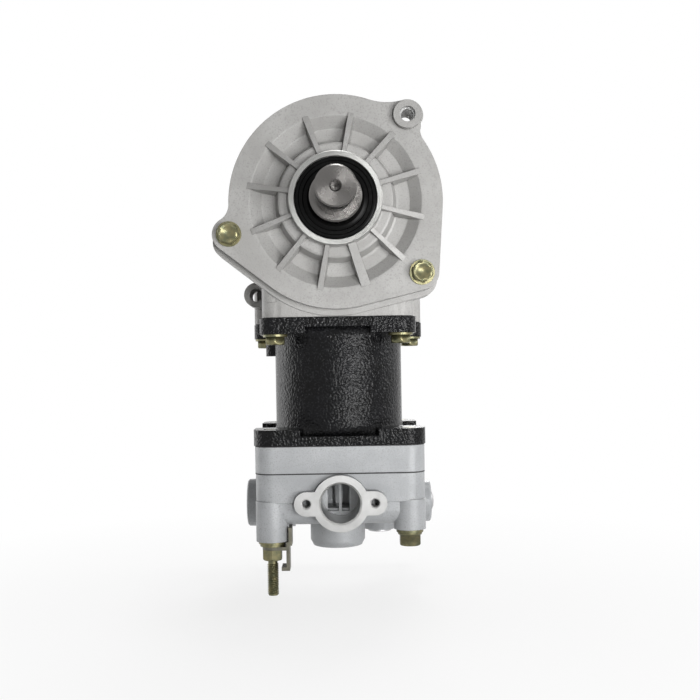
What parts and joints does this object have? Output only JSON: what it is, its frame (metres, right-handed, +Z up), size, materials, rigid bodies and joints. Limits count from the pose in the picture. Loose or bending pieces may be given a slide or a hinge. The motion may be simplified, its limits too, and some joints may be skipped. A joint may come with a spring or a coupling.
{
  "type": "engine air compressor",
  "caption": "Single-cylinder engine air compressor with ribbed drive-end cover, black iron cylinder and aluminium head; crank, piston and valves move.",
  "frame": {"origin": "on the crank axis, at the shoulder of the drive stub", "axes": "+X to the right of the drive end, +Y from the drive end to the rear along the crank axis, +Z up as pictured, from the head to the crankcase"},
  "size_m": [0.1583, 0.179, 0.3438],
  "materials": {
    "cast_aluminium": "fine blasted die casting, light warm grey, machined faces brighter",
    "black_iron": "gloss black paint over rough sand-cast iron",
    "ground_steel": "ground and turned steel",
    "yellow_zinc": "yellow passivated zinc plate",
    "seal_rubber": "black nitrile rubber with a glossy moulded face",
    "gasket_fibre": "dark grey gasket sheet",
    "bearing_steel": "polished bearing steel",
    "cage_brass": "pressed cage",
    "forged_steel": "shot-blasted forging",
    "bearing_bronze": "bearing bronze",
    "piston_aluminium": "turned piston alloy",
    "ring_iron": "ground ring iron",
    "spring_steel": "blue-grey spring steel",
    "plug_steel": "plain zinc plate"
  },
  "bodies": {
    "housing": {"crankcase": "cast_aluminium", "front_cover": "cast_aluminium", "cover_gasket": "gasket_fibre", "shaft_oil_seal": "seal_rubber", "cover_bolts": "yellow_zinc", "cover_bolt_washers": "yellow_zinc", "front_bearing_outer_race": "bearing_steel", "rear_bearing_outer_race": "bearing_steel", "cylinder": "black_iron", "base_gasket": "gasket_fibre", "base_bolts": "yellow_zinc", "base_bolt_washers": "yellow_zinc", "cylinder_gasket": "gasket_fibre", "valve_body": "cast_aluminium", "inlet_valve_spring": "spring_steel", "inlet_valve_retainer": "plug_steel", "delivery_valve_spring": "spring_steel", "delivery_valve_stop": "plug_steel", "head_gasket": "gasket_fibre", "cylinder_head": "cast_aluminium", "head_bolts": "yellow_zinc", "head_bolt_washers": "yellow_zinc", "head_stud": "yellow_zinc", "stud_washers": "yellow_zinc", "stud_nut": "yellow_zinc", "pipe_bracket": "yellow_zinc", "water_plug": "plug_steel", "rear_boss_plug": "plug_steel", "unloader_spring": "spring_steel", "unloader_cap": "cast_aluminium"},
    "crank": {"crankshaft": "ground_steel", "front_bearing_inner_race": "bearing_steel", "rear_bearing_inner_race": "bearing_steel"},
    "front_ball_set": {"front_bearing_balls": "bearing_steel", "front_bearing_cage": "cage_brass"},
    "rear_ball_set": {"rear_bearing_balls": "bearing_steel", "rear_bearing_cage": "cage_brass"},
    "piston_group": {"piston": "piston_aluminium", "piston_pin": "bearing_steel", "pin_circlips": "spring_steel", "top_ring": "ring_iron", "second_ring": "ring_iron", "oil_ring": "ring_iron"},
    "rod_group": {"connecting_rod": "forged_steel", "rod_cap": "forged_steel", "rod_bolts": "forged_steel", "big_end_shells": "bearing_bronze", "small_end_bush": "bearing_bronze", "crankpin": "ground_steel"},
    "inlet_disc": {"inlet_valve_disc": "spring_steel"},
    "delivery_disc": {"delivery_valve_disc": "spring_steel"},
    "unloader": {"unloader_plunger": "plug_steel", "unloader_seal": "seal_rubber"}
  },
  "joints": [
    {"name": "crank_spin", "type": "hinge", "parent": "housing", "child": "crank", "pos_m": [0, 0, 0], "axis": [0, 1, 0], "continuous": true},
    {"name": "front_bearing_roll", "type": "hinge", "parent": "housing", "child": "front_ball_set", "pos_m": [0, 0, 0], "axis": [0, 1, 0], "continuous": true},
    {"name": "rear_bearing_roll", "type": "hinge", "parent": "housing", "child": "rear_ball_set", "pos_m": [0, 0, 0], "axis": [0, 1, 0], "continuous": true},
    {"name": "piston_stroke", "type": "slide", "parent": "housing", "child": "piston_group", "axis": [0, 0, 1], "range_m": [0, 0.046]},
    {"name": "rod_swing", "type": "hinge", "parent": "piston_group", "child": "rod_group", "pos_m": [0, 0.087, -0.135], "axis": [0, 1, 0], "range_deg": [-11.85, 11.85]},
    {"name": "inlet_valve_lift", "type": "slide", "parent": "housing", "child": "inlet_disc", "axis": [0, 0, 1], "range_m": [0, 0.0015], "stiffness_N_per_m": 200, "springref_m": -0.004, "deforming": ["inlet_valve_spring"]},
    {"name": "delivery_valve_lift", "type": "slide", "parent": "housing", "child": "delivery_disc", "axis": [0, 0, -1], "range_m": [0, 0.0015], "stiffness_N_per_m": 200, "springref_m": -0.004, "deforming": ["delivery_valve_spring"]},
    {"name": "unloader_lift", "type": "slide", "parent": "housing", "child": "unloader", "axis": [0, 0, 1], "range_m": [0, 0.003], "stiffness_N_per_m": 1500, "springref_m": -0.004, "deforming": ["unloader_spring"]}
  ],
  "couplings": [
    {"joint": "front_bearing_roll", "follows": "crank_spin", "ratio": 0.3991},
    {"joint": "rear_bearing_roll", "follows": "crank_spin", "ratio": 0.3991}
  ]
}
